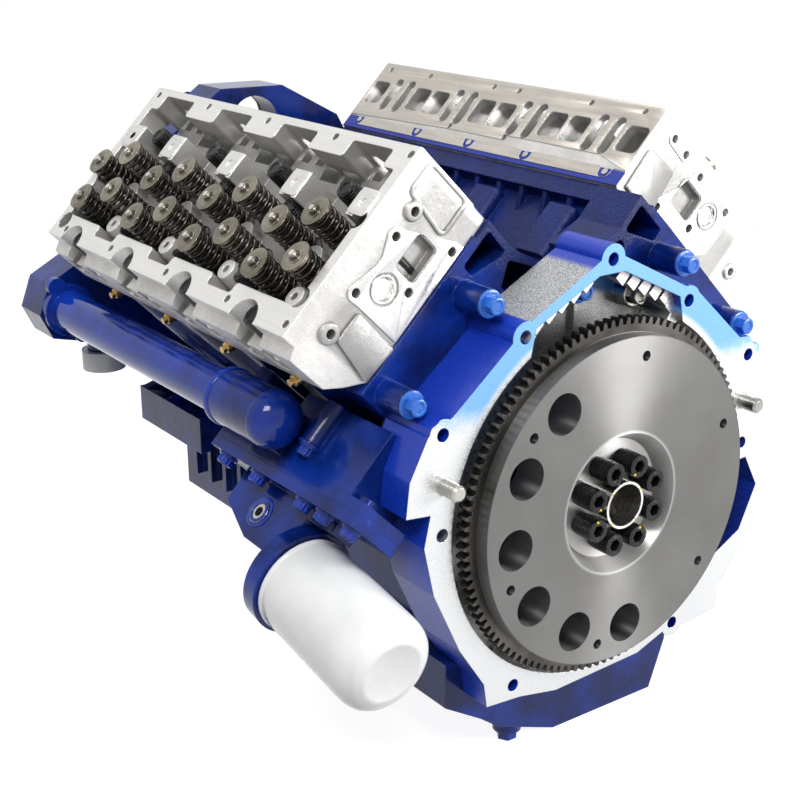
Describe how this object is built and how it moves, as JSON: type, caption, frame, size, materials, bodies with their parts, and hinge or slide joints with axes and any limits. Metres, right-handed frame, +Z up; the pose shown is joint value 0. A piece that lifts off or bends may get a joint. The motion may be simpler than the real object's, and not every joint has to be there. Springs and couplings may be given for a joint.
{
  "type": "v8 diesel engine long block",
  "caption": "Vee diesel long block with turning crankshaft, flywheel and cam, sliding pistons and sprung valves, without rocker gear, covers or turbocharger.",
  "frame": {"origin": "on the crankshaft axis, in the plane of the flywheel's rear face, where the pilot bore opens", "axes": "+Y along the crankshaft to the engine's front, +Z up, +X to the right seen from the rear"},
  "size_m": [0.6567, 0.7589, 0.621],
  "materials": {
    "cam_gear": "cut teeth",
    "camshaft": "ground journals, forged webs",
    "coolant_tube": "drawn tube, gloss blue enamel",
    "cooler_bolts": "plated",
    "crank_gear": "cut teeth",
    "crankshaft": "ground journals, forged webs",
    "drain_plug": "plated",
    "engine_block": "rough casting under gloss blue enamel",
    "filter_head_plug": "plated",
    "flywheel": "turned and ground face",
    "flywheel_bolts": "black oxide with yellow paint dots",
    "flywheel_housing": "cast, machined rear face, light blue overspray",
    "front_cover": "cast, gloss blue enamel",
    "front_gear_housing": "cast, gloss blue enamel",
    "glow_plugs": "plated",
    "head_bolts": "black oxide",
    "head_gaskets": "layered steel",
    "housing_bolts": "plated",
    "housing_dowels": "plated",
    "left_cylinder_head": "cast sides, machined faces",
    "left_exhaust_valves_1": "ground stems, phosphated retainers",
    "left_exhaust_valves_2": "ground stems, phosphated retainers",
    "left_exhaust_valves_3": "ground stems, phosphated retainers",
    "left_exhaust_valves_4": "ground stems, phosphated retainers",
    "left_intake_valves_1": "ground stems, phosphated retainers",
    "left_intake_valves_2": "ground stems, phosphated retainers",
    "left_intake_valves_3": "ground stems, phosphated retainers",
    "left_intake_valves_4": "ground stems, phosphated retainers",
    "left_piston_1": "machined piston with forged rod",
    "left_piston_2": "machined piston with forged rod",
    "left_piston_3": "machined piston with forged rod",
    "left_piston_4": "machined piston with forged rod",
    "left_valve_springs": "spring wire",
    "lower_oil_pan": "pressed steel, gloss blue enamel",
    "main_bearing_caps": "machined casting",
    "main_bearing_shells": "bearing metal",
    "main_cap_bolts": "black oxide",
    "mount_bracket": "cast, gloss blue enamel",
    "oil_cooler_housing": "cast, gloss blue enamel",
    "oil_filter": "gloss white can",
    "oil_filter_head": "cast, gloss blue enamel",
    "pilot_sleeve": "turned",
    "port_cap": "moulded shipping cap",
    "rear_main_seal": "moulded",
    "right_cylinder_head": "cast sides, machined faces",
    "right_exhaust_valves_1": "ground stems, phosphated retainers",
    "right_exhaust_valves_2": "ground stems, phosphated retainers",
    "right_exhaust_valves_3": "ground stems, phosphated retainers",
    "right_exhaust_valves_4": "ground stems, phosphated retainers",
    "right_intake_valves_1": "ground stems, phosphated retainers",
    "right_intake_valves_2": "ground stems, phosphated retainers",
    "right_intake_valves_3": "ground stems, phosphated retainers",
    "right_intake_valves_4": "ground stems, phosphated retainers",
    "right_piston_1": "machined piston with forged rod",
    "right_piston_2": "machined piston with forged rod",
    "right_piston_3": "machined piston with forged rod",
    "right_piston_4": "machined piston with forged rod",
    "right_valve_springs": "spring wire",
    "ring_gear": "hardened teeth",
    "upper_oil_pan": "cast, gloss blue enamel"
  },
  "bodies": {
    "block": {"coolant_tube": "coolant_tube", "cooler_bolts": "cooler_bolts", "drain_plug": "drain_plug", "engine_block": "engine_block", "filter_head_plug": "filter_head_plug", "flywheel_housing": "flywheel_housing", "front_cover": "front_cover", "front_gear_housing": "front_gear_housing", "glow_plugs": "glow_plugs", "head_bolts": "head_bolts", "head_gaskets": "head_gaskets", "housing_bolts": "housing_bolts", "housing_dowels": "housing_dowels", "left_cylinder_head": "left_cylinder_head", "left_valve_springs": "left_valve_springs", "lower_oil_pan": "lower_oil_pan", "main_bearing_caps": "main_bearing_caps", "main_bearing_shells": "main_bearing_shells", "main_cap_bolts": "main_cap_bolts", "mount_bracket": "mount_bracket", "oil_cooler_housing": "oil_cooler_housing", "oil_filter": "oil_filter", "oil_filter_head": "oil_filter_head", "port_cap": "port_cap", "rear_main_seal": "rear_main_seal", "right_cylinder_head": "right_cylinder_head", "right_valve_springs": "right_valve_springs", "upper_oil_pan": "upper_oil_pan"},
    "crank": {"crankshaft": "crankshaft", "crank_gear": "crank_gear", "flywheel": "flywheel", "ring_gear": "ring_gear", "flywheel_bolts": "flywheel_bolts", "pilot_sleeve": "pilot_sleeve"},
    "cam": {"camshaft": "camshaft", "cam_gear": "cam_gear"},
    "left_piston_1": {"left_piston_1": "left_piston_1"},
    "left_piston_2": {"left_piston_2": "left_piston_2"},
    "left_piston_3": {"left_piston_3": "left_piston_3"},
    "left_piston_4": {"left_piston_4": "left_piston_4"},
    "left_intake_valves_1": {"left_intake_valves_1": "left_intake_valves_1"},
    "left_exhaust_valves_1": {"left_exhaust_valves_1": "left_exhaust_valves_1"},
    "left_intake_valves_2": {"left_intake_valves_2": "left_intake_valves_2"},
    "left_exhaust_valves_2": {"left_exhaust_valves_2": "left_exhaust_valves_2"},
    "left_intake_valves_3": {"left_intake_valves_3": "left_intake_valves_3"},
    "left_exhaust_valves_3": {"left_exhaust_valves_3": "left_exhaust_valves_3"},
    "left_intake_valves_4": {"left_intake_valves_4": "left_intake_valves_4"},
    "left_exhaust_valves_4": {"left_exhaust_valves_4": "left_exhaust_valves_4"},
    "right_piston_1": {"right_piston_1": "right_piston_1"},
    "right_piston_2": {"right_piston_2": "right_piston_2"},
    "right_piston_3": {"right_piston_3": "right_piston_3"},
    "right_piston_4": {"right_piston_4": "right_piston_4"},
    "right_intake_valves_1": {"right_intake_valves_1": "right_intake_valves_1"},
    "right_exhaust_valves_1": {"right_exhaust_valves_1": "right_exhaust_valves_1"},
    "right_intake_valves_2": {"right_intake_valves_2": "right_intake_valves_2"},
    "right_exhaust_valves_2": {"right_exhaust_valves_2": "right_exhaust_valves_2"},
    "right_intake_valves_3": {"right_intake_valves_3": "right_intake_valves_3"},
    "right_exhaust_valves_3": {"right_exhaust_valves_3": "right_exhaust_valves_3"},
    "right_intake_valves_4": {"right_intake_valves_4": "right_intake_valves_4"},
    "right_exhaust_valves_4": {"right_exhaust_valves_4": "right_exhaust_valves_4"}
  },
  "joints": [
    {"name": "crank_turn", "type": "hinge", "parent": "block", "child": "crank", "pos_m": [0, 0, 0], "axis": [0, 1, 0], "continuous": true},
    {"name": "cam_turn", "type": "hinge", "parent": "block", "child": "cam", "pos_m": [0, 0, 0.15], "axis": [0, 1, 0], "continuous": true},
    {"name": "left_piston_1_slide", "type": "slide", "parent": "block", "child": "left_piston_1", "axis": [0.7071, 0, -0.7071], "range_m": [-0.0183, 0.0807]},
    {"name": "left_piston_2_slide", "type": "slide", "parent": "block", "child": "left_piston_2", "axis": [0.7071, 0, -0.7071], "range_m": [-0.0883, 0.0107]},
    {"name": "left_piston_3_slide", "type": "slide", "parent": "block", "child": "left_piston_3", "axis": [0.7071, 0, -0.7071], "range_m": [-0.0183, 0.0807]},
    {"name": "left_piston_4_slide", "type": "slide", "parent": "block", "child": "left_piston_4", "axis": [0.7071, 0, -0.7071], "range_m": [-0.0883, 0.0107]},
    {"name": "left_intake_valves_1_slide", "type": "slide", "parent": "block", "child": "left_intake_valves_1", "axis": [0.7071, 0, -0.7071], "range_m": [0, 0.01], "stiffness_N_per_m": 20000, "deforming": ["left_valve_springs"]},
    {"name": "left_exhaust_valves_1_slide", "type": "slide", "parent": "block", "child": "left_exhaust_valves_1", "axis": [0.7071, 0, -0.7071], "range_m": [0, 0.01], "stiffness_N_per_m": 20000, "deforming": ["left_valve_springs"]},
    {"name": "left_intake_valves_2_slide", "type": "slide", "parent": "block", "child": "left_intake_valves_2", "axis": [0.7071, 0, -0.7071], "range_m": [0, 0.01], "stiffness_N_per_m": 20000, "deforming": ["left_valve_springs"]},
    {"name": "left_exhaust_valves_2_slide", "type": "slide", "parent": "block", "child": "left_exhaust_valves_2", "axis": [0.7071, 0, -0.7071], "range_m": [0, 0.01], "stiffness_N_per_m": 20000, "deforming": ["left_valve_springs"]},
    {"name": "left_intake_valves_3_slide", "type": "slide", "parent": "block", "child": "left_intake_valves_3", "axis": [0.7071, 0, -0.7071], "range_m": [0, 0.01], "stiffness_N_per_m": 20000, "deforming": ["left_valve_springs"]},
    {"name": "left_exhaust_valves_3_slide", "type": "slide", "parent": "block", "child": "left_exhaust_valves_3", "axis": [0.7071, 0, -0.7071], "range_m": [0, 0.01], "stiffness_N_per_m": 20000, "deforming": ["left_valve_springs"]},
    {"name": "left_intake_valves_4_slide", "type": "slide", "parent": "block", "child": "left_intake_valves_4", "axis": [0.7071, 0, -0.7071], "range_m": [0, 0.01], "stiffness_N_per_m": 20000, "deforming": ["left_valve_springs"]},
    {"name": "left_exhaust_valves_4_slide", "type": "slide", "parent": "block", "child": "left_exhaust_valves_4", "axis": [0.7071, 0, -0.7071], "range_m": [0, 0.01], "stiffness_N_per_m": 20000, "deforming": ["left_valve_springs"]},
    {"name": "right_piston_1_slide", "type": "slide", "parent": "block", "child": "right_piston_1", "axis": [-0.7071, 0, -0.7071], "range_m": [-0.0183, 0.0807]},
    {"name": "right_piston_2_slide", "type": "slide", "parent": "block", "child": "right_piston_2", "axis": [-0.7071, 0, -0.7071], "range_m": [-0.0183, 0.0807]},
    {"name": "right_piston_3_slide", "type": "slide", "parent": "block", "child": "right_piston_3", "axis": [-0.7071, 0, -0.7071], "range_m": [-0.0883, 0.0107]},
    {"name": "right_piston_4_slide", "type": "slide", "parent": "block", "child": "right_piston_4", "axis": [-0.7071, 0, -0.7071], "range_m": [-0.0883, 0.0107]},
    {"name": "right_intake_valves_1_slide", "type": "slide", "parent": "block", "child": "right_intake_valves_1", "axis": [-0.7071, 0, -0.7071], "range_m": [0, 0.01], "stiffness_N_per_m": 20000, "deforming": ["right_valve_springs"]},
    {"name": "right_exhaust_valves_1_slide", "type": "slide", "parent": "block", "child": "right_exhaust_valves_1", "axis": [-0.7071, 0, -0.7071], "range_m": [0, 0.01], "stiffness_N_per_m": 20000, "deforming": ["right_valve_springs"]},
    {"name": "right_intake_valves_2_slide", "type": "slide", "parent": "block", "child": "right_intake_valves_2", "axis": [-0.7071, 0, -0.7071], "range_m": [0, 0.01], "stiffness_N_per_m": 20000, "deforming": ["right_valve_springs"]},
    {"name": "right_exhaust_valves_2_slide", "type": "slide", "parent": "block", "child": "right_exhaust_valves_2", "axis": [-0.7071, 0, -0.7071], "range_m": [0, 0.01], "stiffness_N_per_m": 20000, "deforming": ["right_valve_springs"]},
    {"name": "right_intake_valves_3_slide", "type": "slide", "parent": "block", "child": "right_intake_valves_3", "axis": [-0.7071, 0, -0.7071], "range_m": [0, 0.01], "stiffness_N_per_m": 20000, "deforming": ["right_valve_springs"]},
    {"name": "right_exhaust_valves_3_slide", "type": "slide", "parent": "block", "child": "right_exhaust_valves_3", "axis": [-0.7071, 0, -0.7071], "range_m": [0, 0.01], "stiffness_N_per_m": 20000, "deforming": ["right_valve_springs"]},
    {"name": "right_intake_valves_4_slide", "type": "slide", "parent": "block", "child": "right_intake_valves_4", "axis": [-0.7071, 0, -0.7071], "range_m": [0, 0.01], "stiffness_N_per_m": 20000, "deforming": ["right_valve_springs"]},
    {"name": "right_exhaust_valves_4_slide", "type": "slide", "parent": "block", "child": "right_exhaust_valves_4", "axis": [-0.7071, 0, -0.7071], "range_m": [0, 0.01], "stiffness_N_per_m": 20000, "deforming": ["right_valve_springs"]}
  ],
  "couplings": [
    {"joint": "cam_turn", "follows": "crank_turn", "ratio": -0.5}
  ]
}
